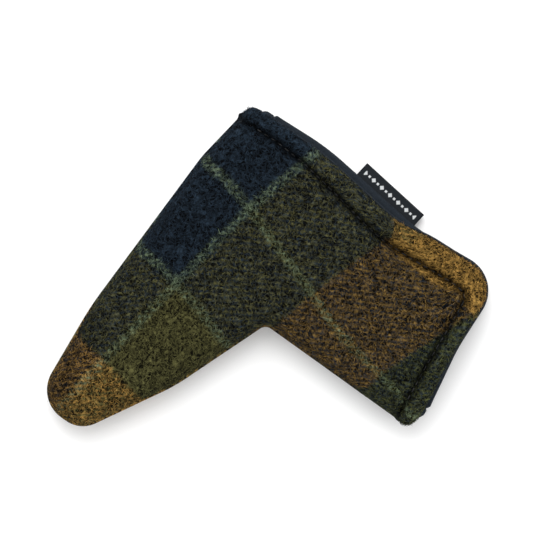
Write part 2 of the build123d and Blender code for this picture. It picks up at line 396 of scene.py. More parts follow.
def panel_surface(side, sewn_profile, mouth_profile, rows):
    """A panel's face as points, quads and flattened cloth places.

    Each profile is a list of (place along it, inset, height above the middle plane or, at the mouth,
    height above the outer face). Row by row the ring at that inset is one line of points; a grid
    spans what is left between the inner and outer sides.
    """
    sewn_rows = smooth_curve(sewn_profile, rows)
    mouth_rows = smooth_curve(mouth_profile, rows)
    share = mouth_share(side)
    level = sewn_rows[-1, 1]
    lines = []
    for (sewn_in, sewn_up), (mouth_in, mouth_up) in zip(sewn_rows, mouth_rows):
        plan = ring(side, sewn_in + SEAM_SET, mouth_in + HEM_SET[side])
        top = top_height(plan, side)
        sewn_height = sewn_up + (top - MIDDLE) * sewn_up / level
        lines.append(np.column_stack([plan, (1 - share) * sewn_height + share * (top + mouth_up)]))
    band = np.array(lines)

    # Flattened places: from the innermost row, lay each column's length out along the plan.
    inner_row = band[-1, :, :2]
    outermost = band[:, :, :2][np.argmin(np.abs(sewn_rows[:, 0]) + np.abs(mouth_rows[:, 0]))]
    outward = outermost - inner_row
    outward /= np.linalg.norm(outward, axis=1, keepdims=True)
    steps = np.linalg.norm(np.diff(band[::-1], axis=0), axis=2)
    lengths = np.concatenate([np.zeros((1, RING)), np.cumsum(steps, axis=0)])[::-1]
    flat = inner_row + outward * lengths[..., None]

    # The grid across the arms, pulled onto the shaft end's own line at its last column.
    share_across = np.linspace(0, 1, ACROSS + 1)[None, :, None]
    inner_side, outer_side = inner_row[INNER][:, None], inner_row[OUTER][:, None]
    grid = inner_side * (1 - share_across) + outer_side * share_across
    along = (np.linspace(0, 1, ALONG + 1) ** 6)[:, None, None]
    grid = grid + along * (inner_row[SHAFT_END] - grid[-1])[None]
    grid_points = np.dstack([grid, top_height(grid, side) - MIDDLE + level])

    last = (rows - 1) * RING
    number = np.full((ALONG + 1, ACROSS + 1), -1)
    number[:, 0] = last + INNER
    number[:, -1] = last + OUTER
    number[-1] = last + SHAFT_END
    number[0] = last + np.arange(PLACE["toe_out", "edge"], PLACE["toe_in", "arc"] + 1)[::-1]
    inside = number < 0
    number[inside] = rows * RING + np.arange(inside.sum())
    points = np.concatenate([band.reshape(-1, 3), grid_points[inside]])
    flat = np.concatenate([flat.reshape(-1, 2), grid[inside]])

    here = np.arange(RING)
    there = (here + 1) % RING
    row = (np.arange(rows - 1) * RING)[:, None]
    band_quads = np.stack([row + here, row + there, row + RING + there, row + RING + here], axis=-1)
    grid_quads = np.stack([number[:-1, :-1], number[1:, :-1], number[1:, 1:], number[:-1, 1:]], axis=-1)
    quads = np.concatenate([band_quads.reshape(-1, 4), grid_quads.reshape(-1, 4)])
    row_of = np.concatenate([np.repeat(np.arange(rows), RING), np.full(inside.sum(), rows)])
    return points, quads, flat, row_of


def make_mesh(name, points, faces, material, uv=None, **values):
    """An object whose mesh has these points, in mm from the origin, a cloth map, and values at points.

    No point goes below the resting height, so whatever would pass the floor is flattened on it.
    """
    points = np.column_stack([points[:, :2], np.maximum(points[:, 2], REST_HEIGHT)])
    mesh = bpy.data.meshes.new(name)
    mesh.from_pydata((points * MM).tolist(), [], list(faces))
    mesh.polygons.foreach_set("use_smooth", np.ones(len(mesh.polygons), bool))
    if uv is not None:
        corner_points = np.zeros(len(mesh.loops), np.int32)
        mesh.loops.foreach_get("vertex_index", corner_points)
        layer = mesh.uv_layers.new(name="cloth")
        layer.data.foreach_set("uv", (uv[corner_points] * MM).astype(np.float32).ravel())
    for value_name, value in values.items():
        layer = mesh.attributes.new(value_name, "FLOAT", "POINT")
        layer.data.foreach_set("value", value.astype(np.float32))
    mesh.materials.append(material)
    mesh.update()
    made = bpy.data.objects.new(name, mesh)
    scene.collection.objects.link(made)
    return made


def point_normals(points, quads):
    """The mean direction of the faces round each point, larger faces counting more."""
    diagonals = points[quads[:, 2]] - points[quads[:, 0]], points[quads[:, 3]] - points[quads[:, 1]]
    facing = np.cross(*diagonals)
    normals = np.zeros_like(points)
    for corner in range(4):
        np.add.at(normals, quads[:, corner], facing)
    return normals / np.maximum(np.linalg.norm(normals, axis=1, keepdims=True), 1e-12)


def facing_up(points, quads):
    """Quads turned so that their faces look up, with their points' normals."""
    normals = point_normals(points, quads)
    if normals[-1, 2] < 0:
        return quads[:, ::-1], -normals
    return quads, normals


def wall_quads(count):
    """Quads that join the first ring of one surface of `count` points to the first ring of the next."""
    here = np.arange(RING)
    there = (here + 1) % RING
    return np.stack([here + count, there + count, there, here], axis=-1)


def shell(face, under, quads):
    """Closes two faces of a layer, which share one set of quads, with a wall round their first row."""
    count = len(face)
    return (np.concatenate([face, under]),
            np.concatenate([quads, quads[:, ::-1] + count, wall_quads(count)]))


def put_side(points, quads, side):
    """Moves a panel's points from heights over the middle plane to their own side of it."""
    if side == "front":
        return points * (1, 1, 1) + (0, 0, MIDDLE), quads
    placed = points * (1, 1, -1) + (0, 0, MIDDLE)
    placed[:, 2] = np.maximum(placed[:, 2], REST_HEIGHT)
    return placed, quads[:, ::-1]


def bend_with_flap(piece):
    """Bakes the piece's placement into its mesh."""
    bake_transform(piece)


# %% [markdown]
# ## Wool panels
#
# The wool is one cut piece a side. Along the sewn edge it turns in at the seam halfway down; along the
# mouth it folds over the padding's edge and under. The topstitching pulls a narrow valley about 10 mm
# from the edge, which leaves the hem as a puffy roll, and the valley runs on over the ends of the seam,
# where it nips the outline in. Small puckers cross the stitching, and the whole cloth has slow swells.

# %% Wool profiles and relief
ROWS = 42
SEWN_WOOL = [(0.00, 2.9, 0.10), (0.06, 1.5, 0.10), (0.12, 0.60, 0.7), (0.20, 0.2, 2.1), (0.29, 0.4, 4.8),
             (0.39, 1.3, 7.3), (0.50, 3.1, 9.7), (0.62, 5.6, 11.6), (0.74, 8.4, 12.7), (0.86, 10.9, 13.0),
             (1.00, 12.8, 13.0)]
MOUTH_WOOL = [(0.00, 5.6, -4.5), (0.09, 3.2, -4.9), (0.17, 1.1, -4.5), (0.24, 0.1, -3.2),
              (0.31, 0.25, -1.7), (0.39, 1.5, -0.35), (0.48, 3.4, 0.1), (0.60, 6.6, 0.1),
              (0.72, 9.5, 0.0), (0.85, 12.4, 0.0), (1.00, 16.0, 0.0)]
GROOVE = {
    "front": [(-48, 32.4), (-30.6, 31.9), (-14, 32.4), (1.5, 31.4), (14, 29.4), (28, 26.8), (40, 24.4),
              (51.5, 22.9), (67, 23.3), (80, 24.4), (90.6, 24.9), (95.5, 24.2), (97.9, 21.6), (98.4, 16),
              (100, -9.2), (102.3, -35.8), (103.4, -50)],
    "back": [(-48, 34.0), (-30.6, 33.5), (-14, 34.6), (1.5, 33.6), (14, 31.4), (28, 28.4), (40, 26.4),
             (51.5, 24.6), (67, 24.0), (80, 24.9), (90.6, 26.3), (96.5, 25.4), (99, 22), (99.6, 16),
             (101.6, -9.2), (104.3, -35.8), (105.4, -50)],
}
VALLEY_DEPTH = 3.1
VALLEY_WIDTH = 1.45
HEM_SWELL = 1.3
BODY_SWELL = 0.9


def wool_relief(side, points, row_of):
    """How far the cloth stands out or sinks in, in mm: hem roll, stitched valley, puckers and swells."""
    from_groove = distance_to_line(points[:, :2], np.array(GROOVE[side], float))
    plan = points[:, :2] + (0.0 if side == "front" else 57.0)
    uneven = 1 + 0.14 * ripple(plan, 13.0, 3)
    valley = np.exp(-np.abs(from_groove / VALLEY_WIDTH) ** 1.6)
    roll = np.exp(-((from_groove - 5.0) / 3.2) ** 2)
    body = smoothstep(0, -12.0, from_groove)
    puckers = 0.30 * np.exp(-(from_groove / 4.0) ** 2) * ripple(plan, 7.5, 7)
    swell = BODY_SWELL * body * (1 + 0.35 * ripple(plan, 42.0, 4))
    fine = 0.12 * ripple(plan, 9.0, 5) + 0.06 * ripple(plan, 4.0, 6)
    pulled = (puckers - VALLEY_DEPTH * valley * uneven) * (0.4 + 0.6 * smoothstep(14, 24, row_of))
    stitched = (HEM_SWELL * roll * uneven + pulled) * smoothstep(6, 12, row_of)
    return stitched + (swell + fine) * smoothstep(14, 28, row_of)


def painted_shade_and_highlight(side, points):
    """A factor on the cloth's colour, below 1 for painted shade and above 1 for painted highlight.

    Painted shade in the stitched valley, where the nap of its two walls closes over and little light gets
    in: a bell curve of the distance from it takes 0.88 away. A painted highlight on the hem's crest, and
    painted shade on the toe's outer side, which rounds away from the light; those are lighter and darker on
    the real cover. The amounts are set by eye, and why isn't known.
    """
    from_groove = distance_to_line(points[:, :2], np.array(GROOVE[side], float))
    # Painted shade in the stitched valley, a painted highlight on the hem's crest, and painted shade on the
    # toe's outer side.
    valley = 0.88 * np.exp(-(from_groove / 1.7) ** 2)
    crest = 0.2 * np.exp(-((from_groove - 5.5) / 3.0) ** 2)
    x, y = points[:, 0], points[:, 1]
    toe_painted_shade = 0.42 * smoothstep(-22, -33, x + 0.3 * (y + 110)) * smoothstep(-70, -92, y)
    return 1 - valley + crest - toe_painted_shade


# %% [markdown]
# ## Swelling
#
# Padding pushes cloth out between the places where stitches hold it, and how far is hard to write down.
# A short cloth simulation on a coarse body finds it, and the fine surfaces take up its moves.

# %% Swelling by simulation
SIM_VOXEL = 4.0
SIM_FRAMES = 20
SIM_PRESSURE = 4.0
SIM_CAP = 1.4


def swelling(faces):
    """Where each coarse point of the stuffed cover is before and after its padding pushes the cloth out.

    Both outer faces are joined into one closed body, remeshed in even steps, and blown up as cloth that
    is held at the sewn edge and along the stitching. Returns the coarse points and how far each moves.
    """
    (front, front_quads), (back, back_quads) = faces
    faces = np.concatenate([front_quads, back_quads + len(front), wall_quads(len(front))])
    body = make_mesh("swelling", np.concatenate([front, back]), faces, wool_material)
    remesh = body.modifiers.new("even", "REMESH")
    remesh.mode = "VOXEL"
    remesh.voxel_size = SIM_VOXEL * MM
    mesh = bpy.data.meshes.new_from_object(body.evaluated_get(bpy.context.evaluated_depsgraph_get()))
    bpy.data.objects.remove(body)
    coarse = bpy.data.objects.new("coarse", mesh)
    scene.collection.objects.link(coarse)
    before = np.array([v.co for v in mesh.vertices]) / MM
    near_stitches = np.minimum(*[np.abs(distance_to_line(before[:, :2], np.array(GROOVE[side], float)))
                                 for side in ("front", "back")])
    held = (near_stitches < 3.0) | (np.abs(before[:, 2] - MIDDLE) < 4.0)
    pins = coarse.vertex_groups.new(name="held")
    pins.add(np.flatnonzero(held).tolist(), 1.0, "REPLACE")
    cloth = coarse.modifiers.new("cloth", "CLOTH")
    cloth.settings.vertex_group_mass = "held"
    cloth.settings.use_pressure = True
    cloth.settings.uniform_pressure_force = SIM_PRESSURE
    cloth.settings.effector_weights.gravity = 0
    cloth.settings.bending_stiffness = 2.0
    cloth.point_cache.frame_end = SIM_FRAMES
    for step in range(1, SIM_FRAMES + 1):
        scene.frame_set(step)
    moved = coarse.evaluated_get(bpy.context.evaluated_depsgraph_get()).data
    move = np.array([v.co for v in moved.vertices]) / MM - before
    bpy.data.objects.remove(coarse)
    scene.frame_set(1)
    reach = np.linalg.norm(move, axis=1, keepdims=True)
    return before, move * SIM_CAP / np.maximum(reach + SIM_CAP, 1e-9)


def carried(points, coarse, move):
    """The move of each fine point: a mean of its eight nearest coarse points, nearer ones counting more."""
    found = np.zeros_like(points)
    for start in range(0, len(points), 2000):
        part = points[start:start + 2000]
        gap = np.linalg.norm(part[:, None] - coarse[None], axis=2)
        nearest = np.argpartition(gap, 8, axis=1)[:, :8]
        weight = 1 / (np.take_along_axis(gap, nearest, axis=1) + 1.5) ** 2
        weight /= weight.sum(1, keepdims=True)
        found[start:start + 2000] = (move[nearest] * weight[..., None]).sum(1)
    return found


# %% [markdown]
# ## Where the tartan lies
#
# The pattern belongs to the cloth and not to the cover, so it is placed on the flattened panel. The numbers
# that bend its lines were fitted to where the bands cross the real cover.

# %% Cloth places
def cloth_places(flat, side):
    """Where flattened points lie on the cloth, in mm across its warp and down its weft.

    The cloth was cut at a slant, and its lines bend a little with the cover's shape. The warp's first
    light line follows one gentle curve and the weft's another, and distances are counted from those.
    """
    x, y = flat[:, 0], flat[:, 1]
    if side == "back":
        x, y = x + 21.0, y - 17.0
    soft_y = 12.0 * np.logaddexp(0, y / 12.0)
    warp_line = -8.1 + 0.155 * y + 0.15 * soft_y
    spread = 47.3 + 0.1 * np.maximum(y + 33, 0)
    across = (x - warp_line) * 48.0 / spread
    weft_line = (-3.2 - 0.319 * x - 2.6 * np.exp(-((x - 62) / 22) ** 2)
                 + 1.2 * np.exp(-((x + 5) / 20) ** 2))
    ease = smoothstep(0, -60, y)
    weft_line = weft_line + ease * (0.05 * x + 0.5) - 2.0 * smoothstep(-22, -40, x)
    down = (weft_line - y) * 0.955
    down -= 3.5 * smoothstep(42, 52, x) * smoothstep(76, 62, x) * smoothstep(15, 24, y)
    down += 5.0 * smoothstep(78, 95, x) * smoothstep(2, 18, y)
    if side == "front":
        on_hem = smoothstep(25, 31, y + 0.12 * (x - 50))
        across -= 7.5 * on_hem * smoothstep(92, 70, x) * smoothstep(25, 35, x)
        down += 9.0 * smoothstep(55, 51, x) * smoothstep(23, 27, y) * smoothstep(20, 32, x)
    return np.column_stack([across, down])


# %% [markdown]
# ## Tartan wool
#
# The cloth is a 2/2 twill of dyed woollen yarns 0.85 mm apart, milled and brushed until its fibres
# stand up and cross. So the colour is worked out in three steps. Stripes along the warp and the weft
# give two yarn colours at each place. The twill's diagonal ribs say which of the two lies on top. Then
# curled fibres lighten and darken it at under a millimetre, and dye lots shade it more slowly.

# %% Yarn colours and sett
NAVY, OLIVE, BROWN, GREEN, GOLD, LINE = "#10171e", "#31301b", "#4c3b1b", "#2e3019", "#664e26", "#3a4334"
WARP_BANDS = [(-2.0, NAVY), (2.0, LINE), (48.0, OLIVE), (98.0, BROWN), (None, GREEN)]
WEFT_BANDS = [(-47.0, GOLD), (-2.0, NAVY), (2.0, LINE), (45.0, NAVY), (49.0, LINE), (94.0, OLIVE),
              (None, GOLD)]
YARN = 0.85  # from one yarn to the next
STRIPE_BLUR = 0.7  # brushing spreads an edge between two colours this far to each side


def stripes(tree, position, bands):
    """Bands of colour along a position in mm. Each band is (where it ends, its colour)."""
    low, high = bands[0][0] - 30, bands[-2][0] + 30
    place = add(tree, "ShaderNodeMapRange", {"Value": position, "From Min": low, "From Max": high})
    ramp = add(tree, "ShaderNodeValToRGB", {"Fac": place})
    stops = ramp.color_ramp.elements
    stops[0].color = linear(bands[0][1])
    stops[1].color = linear(bands[-1][1])
    for (end, colour), (_, next_colour) in zip(bands, bands[1:]):
        stops.new((end - STRIPE_BLUR - low) / (high - low)).color = linear(colour)
        stops.new((end + STRIPE_BLUR - low) / (high - low)).color = linear(next_colour)
    return ramp


def cloth_position(tree, wander):
    """The cloth map in mm, pushed about by up to `wander` as hand-spun yarn wanders."""
    place = add(tree, "ShaderNodeUVMap", uv_map="cloth")
    mm = add(tree, "ShaderNodeVectorMath", {0: place, 1: (1000, 1000, 1000)}, operation="MULTIPLY")
    drift = add(tree, "ShaderNodeTexNoise", {"Vector": mm, "Scale": 0.6, "Detail": 3.0})
    centred = add(tree, "ShaderNodeVectorMath", {0: drift.outputs["Color"], 1: (0.5, 0.5, 0.5)},
                  operation="SUBTRACT")
    push = add(tree, "ShaderNodeVectorMath", {0: centred, "Scale": wander}, operation="SCALE")
    return mm, add(tree, "ShaderNodeVectorMath", {0: mm, 1: push}, operation="ADD")


def tartan(tree, wander, fibre_share):
    """The cloth's two yarn colours as they lie on top of each other.

    The ribs are a wave along the twill's diagonal. `fibre_share` is how far stray fibres hide them.
    Returns the colour, the true place in mm, and the ribs' wave.
    """
    true_place, wandering = cloth_position(tree, wander)
    parts = add(tree, "ShaderNodeSeparateXYZ", {0: wandering})
    warp = stripes(tree, parts.outputs["X"], WARP_BANDS)
    weft = stripes(tree, parts.outputs["Y"], WEFT_BANDS)
    diagonal = add(tree, "ShaderNodeMath", {0: parts.outputs["X"], 1: parts.outputs["Y"]}, operation="ADD")
    turn = add(tree, "ShaderNodeMath", {0: diagonal, 1: 2 * np.pi / (4 * YARN)}, operation="MULTIPLY")
    ribs = add(tree, "ShaderNodeMath", {0: turn}, operation="SINE")
    tangle = add(tree, "ShaderNodeTexNoise", {"Vector": true_place, "Scale": 0.8, "Detail": 4.0,
                                              "Roughness": 0.65})
    on_top = add(tree, "ShaderNodeMath", {0: ribs, 1: 0.11, 2: tangle}, operation="MULTIPLY_ADD")
    weft_share = add(tree, "ShaderNodeMapRange", {"Value": on_top, "From Min": 0.5 - fibre_share,
                                                  "From Max": 0.5 + fibre_share})
    yarns = add(tree, "ShaderNodeMix", {"Factor": weft_share, "A": warp, "B": weft}, data_type="RGBA")
    return yarns.outputs["Result"], true_place, ribs


# %% [markdown]
# ## Curled fibres
#
# Milled wool has no clean yarns on top, only fibres that cross and curl. Where a smooth noise passes its
# middle value it draws thin wandering lines, which stand for them.

# %% Curled fibres
def curled_fibres(tree, place, scale, width, shift):
    """Thin bright lines that wander and curl: the places where a smooth noise crosses its middle value."""
    moved = add(tree, "ShaderNodeVectorMath", {0: place, 1: (shift, 0, 0)}, operation="ADD")
    hills = add(tree, "ShaderNodeTexNoise", {"Vector": moved, "Scale": scale, "Detail": 1.5,
                                             "Roughness": 0.5, "Distortion": 0.6})
    from_middle = add(tree, "ShaderNodeMath", {0: hills, 1: 0.5}, operation="SUBTRACT")
    distance = add(tree, "ShaderNodeMath", {0: from_middle}, operation="ABSOLUTE")
    return add(tree, "ShaderNodeMapRange", {"Value": distance, "From Max": width, "To Min": 1.0,
                                            "To Max": 0.0})


# %% [markdown]
# ## Wool
#
# Wool that is matt, dark between its fibres and lighter on them: partly the fibres' own lighter tone,
# partly painted shade in the gaps and a painted highlight on the fibre tops. It gives the eye the warmth
# and the depth of a brushed cloth: the gaps are painted almost black, and the fibre tops are painted as if
# they catch the lamp.

# %% Wool material
wool_material, tree, shader = new_material("milled_tartan_wool")
yarns, true_place, ribs = tartan(tree, 2.4, 0.2)
long_curls = curled_fibres(tree, true_place, 0.27, 0.075, 0.0)
short_curls = curled_fibres(tree, true_place, 0.46, 0.085, 40.0)
curls = add(tree, "ShaderNodeMath", {0: long_curls, 1: short_curls}, operation="MAXIMUM")
tufts = add(tree, "ShaderNodeTexNoise", {"Vector": true_place, "Scale": 0.3, "Detail": 3.0})
tuft_gain = add(tree, "ShaderNodeMapRange", {"Value": tufts, "From Min": 0.3, "From Max": 0.7,
                                             "To Min": 0.55, "To Max": 1.45})
# Painted shade in the gaps between fibres and a painted highlight on the fibres, together with the fibres'
# own lighter tone.
fibre_tone_and_painted_light = add(tree, "ShaderNodeMapRange", {"Value": curls, "To Min": 0.085, "To Max": 3.15})
gain = add(tree, "ShaderNodeMath", {0: fibre_tone_and_painted_light, 1: tuft_gain}, operation="MULTIPLY")
# The 'open' attribute scales the colour by painted shade in the stitched valley and on the toe's outer
# side, and by a painted highlight on the hem's crest.
painted_light_share = add(tree, "ShaderNodeAttribute", attribute_name="open")
gain = add(tree, "ShaderNodeMath", {0: gain, 1: painted_light_share.outputs["Fac"]}, operation="MULTIPLY")
shade = add(tree, "ShaderNodeVectorMath", {0: yarns, "Scale": gain}, operation="SCALE")
tree.links.new(shade.outputs[0], shader.inputs["Base Color"])

height = add(tree, "ShaderNodeMath", {0: ribs, 1: 0.15, 2: curls}, operation="MULTIPLY_ADD")
bump = add(tree, "ShaderNodeBump", {"Height": height, "Distance": 0.7 * MM, "Strength": 1.0})
tree.links.new(bump.outputs[0], shader.inputs["Normal"])
shader.inputs["Roughness"].default_value = 0.95
shader.inputs["Specular IOR Level"].default_value = 0.05

# %% [markdown]
# ## Loose fibres
#
# The loose fibres are single hairs of the same dyed wool. They glint a little more than the ground does.

# %% Nap material
# A loose fibre takes the colour of the cloth at its root, and each has its own random tone, lighter on the
# whole as a painted highlight and scaled by the painted shade and highlight of the cloth at its root.
nap_material, tree, shader = new_material("loose_wool_fibres")
yarns, _, _ = tartan(tree, 3.0, 0.08)
tone = add(tree, "ShaderNodeAttribute", attribute_name="tone")
shade = add(tree, "ShaderNodeVectorMath", {0: yarns, "Scale": tone.outputs["Fac"]}, operation="SCALE")
tree.links.new(shade.outputs[0], shader.inputs["Base Color"])
shader.inputs["Roughness"].default_value = 0.8
shader.inputs["Specular IOR Level"].default_value = 0.1

# %% [markdown]
# ## Cutting the wool
#
# Each panel's outer face comes from its profiles and relief, and its inner face lies a wool's thickness
# under it. A narrow wall joins them along the hidden edge, so each panel is a closed thin layer.
#
# Known fault: on the back panel the normals point into the cover. Its relief and its inner face
# therefore go the wrong way, and the inner face is pressed flat at the resting height. The back wool is
# right in outline but has lost most of its thickness.

# %% Wool surfaces
WOOL_THICKNESS = 1.3


def outer_face(side):
    """A panel's outer face with its relief, on its own side: points, quads, flat places, row numbers."""
    points, quads, flat, row_of = panel_surface(side, SEWN_WOOL, MOUTH_WOOL, ROWS)
    quads, normals = facing_up(points, quads)
    points = points + normals * wool_relief(side, points, row_of)[:, None]
    placed, quads = put_side(points, quads, side)
    return placed, quads, flat, row_of


OUTER_FACES = {side: outer_face(side) for side in ("front", "back")}
SWELL = swelling([OUTER_FACES[side][:2] for side in ("front", "back")])
print("simulated", len(SWELL[0]), "points, moved up to", round(float(np.abs(SWELL[1]).max()), 2), "mm")


def swollen(points, row_of):
    """Points after the simulated swelling, which fades out towards the hidden edge."""
    if SWELL is None:
        return points
    return points + carried(points, *SWELL) * smoothstep(12, 30, row_of)[:, None]


def wool_panel(side):
    """One wool panel as a closed thin layer. Returns it with its outer face's points, quads and map."""
    points, quads, flat, row_of = OUTER_FACES[side]
    points = swollen(points, row_of)
    points[:, 2] = np.maximum(points[:, 2], REST_HEIGHT)
    under = points - point_normals(points, quads) * WOOL_THICKNESS
    uv = cloth_places(flat, side)
    every, faces = shell(points, under, quads)
    # Painted shade and highlight at each point, stored in the 'open' attribute.
    light = painted_shade_and_highlight(side, np.concatenate([points, points]))
    panel = make_mesh(f"wool_{side}", every, faces, wool_material, np.concatenate([uv, uv]), open=light)
    return panel, points, quads, uv


wool, wool_points, wool_quads, wool_uv = {}, {}, {}, {}
for side in ("front", "back"):
    wool[side], wool_points[side], wool_quads[side], wool_uv[side] = wool_panel(side)
    print(f"{side} wool:", len(wool[side].data.polygons), "quads,",
          np.round(wool_points[side].min(0), 1), "to", np.round(wool_points[side].max(0), 1))

# %% [markdown]
# ## Foam padding
#
# Known fault: the back padding's faces look inward, and it comes level with the wool in places.
#
# A thin open foam lies under each wool panel and gives the cover its body. It takes the same shape a
# wool's thickness further in, and it is nipped thin where the stitching holds it.

# %% Padding
padding_material, tree, shader = new_material("grey_polyether_foam")
pores = add(tree, "ShaderNodeTexNoise", {"Vector": add(tree, "ShaderNodeTexCoord").outputs["Object"],
                                         "Scale": 1400.0, "Detail": 2.0})
pore_bump = add(tree, "ShaderNodeBump", {"Height": pores, "Distance": 0.2 * MM, "Strength": 0.6})
tree.links.new(pore_bump.outputs[0], shader.inputs["Normal"])
shader.inputs["Base Color"].default_value = linear("#8b8a86")
shader.inputs["Roughness"].default_value = 0.95

PAD_ROWS = 20
SEWN_PAD = [(0.00, 2.8, 1.6), (0.14, 2.3, 4.4), (0.30, 3.2, 6.6), (0.46, 4.9, 8.7), (0.62, 7.3, 10.2),
            (0.80, 10.2, 11.3), (1.00, 12.8, 11.5)]
MOUTH_PAD = [(0.00, 2.9, -3.6), (0.14, 1.9, -2.9), (0.30, 2.6, -1.75), (0.46, 4.6, -1.4),
             (0.62, 7.6, -1.4), (0.80, 11.4, -1.5), (1.00, 16.0, -1.5)]
SEWN_PAD_UNDER = [(0.00, 3.6, 1.6), (0.14, 4.4, 4.0), (0.30, 5.6, 5.4), (0.46, 7.2, 6.5),
                  (0.62, 9.0, 7.2), (0.80, 11.0, 7.5), (1.00, 12.8, 7.5)]
MOUTH_PAD_UNDER = [(0.00, 3.2, -3.6), (0.14, 4.4, -3.7), (0.30, 6.2, -4.0), (0.46, 7.6, -5.3),
                   (0.62, 9.8, -5.5), (0.80, 13.0, -5.5), (1.00, 16.0, -5.5)]


def padding_panel(side):
    """One foam panel: an outer face that follows the wool, a plain inner face, and a rim."""
    face, quads, _, row_of = panel_surface(side, SEWN_PAD, MOUTH_PAD, PAD_ROWS)
    under, _, _, _ = panel_surface(side, SEWN_PAD_UNDER, MOUTH_PAD_UNDER, PAD_ROWS)
    quads, normals = facing_up(face, quads)
    relief = wool_relief(side, face, np.full(len(face), ROWS))
    inner_rows = smoothstep(1, 6, row_of)
    face = face + normals * (np.minimum(relief, 0.5) * inner_rows)[:, None]
    every, faces = shell(face, under, quads)
    placed, faces = put_side(every, faces, side)
    placed[:len(face)] = swollen(placed[:len(face)], row_of * ROWS / PAD_ROWS)
    return make_mesh(f"padding_{side}", placed, faces, padding_material)


# %% [markdown]
# ## Fleece lining
#
# The lining is a dark, short-piled polyester fleece. It shows as a soft rolled lip past the hem, and
# inside the mouth. Its pile scatters a little light, so it looks lighter where it rolls over.

# %% Lining
lining_material, tree, shader = new_material("charcoal_polyester_fleece")
place = add(tree, "ShaderNodeTexCoord").outputs["Object"]
pile = add(tree, "ShaderNodeTexNoise", {"Vector": place, "Scale": 900.0, "Detail": 4.0,
                                        "Roughness": 0.7, "Distortion": 1.2})
pile_colour = add(tree, "ShaderNodeMix", {"Factor": pile, "A": linear("#05080b"), "B": linear("#2c333b")},
                  data_type="RGBA")
tree.links.new(pile_colour.outputs["Result"], shader.inputs["Base Color"])
pile_bump = add(tree, "ShaderNodeBump", {"Height": pile, "Distance": 0.5 * MM, "Strength": 0.8})
tree.links.new(pile_bump.outputs[0], shader.inputs["Normal"])
shader.inputs["Roughness"].default_value = 0.95
shader.inputs["Specular IOR Level"].default_value = 0.1

LINING_ROWS = 24
LINING_THICKNESS = 1.2
SEWN_LINING = [(0.00, 6.0, 0.12), (0.12, 6.2, 1.8), (0.28, 7.0, 3.6), (0.46, 8.6, 5.0),
               (0.64, 10.4, 5.8), (0.82, 12.2, 6.1), (1.00, 14.0, 6.1)]
MOUTH_LINING = [(0.00, -1.0, -4.3), (0.12, -1.4, -4.9), (0.26, -1.3, -5.8), (0.40, -0.4, -6.5),
                (0.54, 1.4, -6.8), (0.70, 5.0, -6.9), (0.84, 10.0, -6.9), (1.00, 16.0, -6.9)]


def lining_panel(side):
    """One lining panel as a closed thin layer, its pile side towards the pocket."""
    points, quads, flat, _ = panel_surface(side, SEWN_LINING, MOUTH_LINING, LINING_ROWS)
    quads, normals = facing_up(points, quads)
    every, faces = shell(points + normals * LINING_THICKNESS, points, quads)
    placed, faces = put_side(every, faces, side)
    panel = make_mesh(f"lining_{side}", placed, faces, lining_material)
    return panel


padding, lining = {}, {}
for side in ("front", "back"):
    padding[side] = padding_panel(side)
    lining[side] = lining_panel(side)
    print(side, "padding and lining:", len(padding[side].data.polygons), "and",
          len(lining[side].data.polygons), "quads")

# %% [markdown]
# ## Seam and topstitching
#
# A closed seam joins the panels halfway down their sewn edge. Its thread and the pinched cloth show from
# the side as a fine dark line. The topstitching is a run of short stitches that sit at the bottom of the
# valley, on the outer face of each panel.

# %% Thread
thread_material, tree, shader = new_material("black_bonded_polyester_thread")
shader.inputs["Base Color"].default_value = linear("#101214")
shader.inputs["Roughness"].default_value = 0.55


def tube(line, radius, sides=8):
    """Points and quads of a round thread along an open line, open at both ends.

    Each ring stands across the line's direction, on one vector that points up and one sideways.
    """
    along = np.gradient(line, axis=0)
    along /= np.linalg.norm(along, axis=1, keepdims=True)
    across = np.cross(along, [0.0, 0.0, 1.0])
    across /= np.maximum(np.linalg.norm(across, axis=1, keepdims=True), 1e-9)
    up = np.cross(across, along)
    turn = np.linspace(0, 2 * np.pi, sides, endpoint=False)[None, :, None]
    radius = np.broadcast_to(radius, len(line))[:, None, None]
    rings = line[:, None] + radius * (across[:, None] * np.cos(turn) + up[:, None] * np.sin(turn))
    row = (np.arange(len(line) - 1) * sides)[:, None]
    here = np.arange(sides)
    there = (here + 1) % sides
    quads = np.stack([row + here, row + there, row + sides + there, row + sides + here], axis=-1)
    return rings.reshape(-1, 3), quads.reshape(-1, 4)


def stitch_row(name, side, line, pitch=3.8, length=2.8, radius=0.3):
    """Stitches along a plan line, each a bowed and tapered thread laid on the wool's outer face."""
    sign = 1 if side == "front" else -1
    surface = BVHTree.FromPolygons(wool_points[side].tolist(), wool_quads[side].tolist())
    steps = np.linalg.norm(np.diff(line, axis=0), axis=1)
    reach = np.concatenate([[0], np.cumsum(steps)])
    points, faces = [], []
    for start in np.arange(pitch / 2, reach[-1] - length, pitch):
        where = np.linspace(start, start + length, 7)
        plan = np.column_stack([np.interp(where, reach, line[:, k]) for k in (0, 1)])
        found = []
        for x, y in plan:
            hit = surface.ray_cast((x, y, MIDDLE + sign * 40), (0, 0, -sign))[0]
            if hit:
                found.append((x, y, hit[2]))
        if len(found) < 7:
            continue
        found = np.array(found)
        found[:, 2] += sign * (0.12 - 0.25 * np.linspace(-1, 1, 7) ** 4)
        ring_points, quads = tube(found, radius * (1.02 - np.linspace(-1, 1, 7) ** 6))
        faces.append(quads + sum(len(p) for p in points))
        points.append(ring_points)
    return make_mesh(name, np.concatenate(points), np.concatenate(faces), thread_material)


def closed_thread(name, inset, radius):
    """A thread along the sewn edge at this inset, halfway down."""
    edge = ring("front", inset, 0)[PLACE["heel", "edge"]:PLACE["lower", "arc"] + 1]
    line = np.column_stack([edge, np.full(len(edge), MIDDLE)])
    points, quads = tube(line, radius)
    return make_mesh(name, points, quads, thread_material)


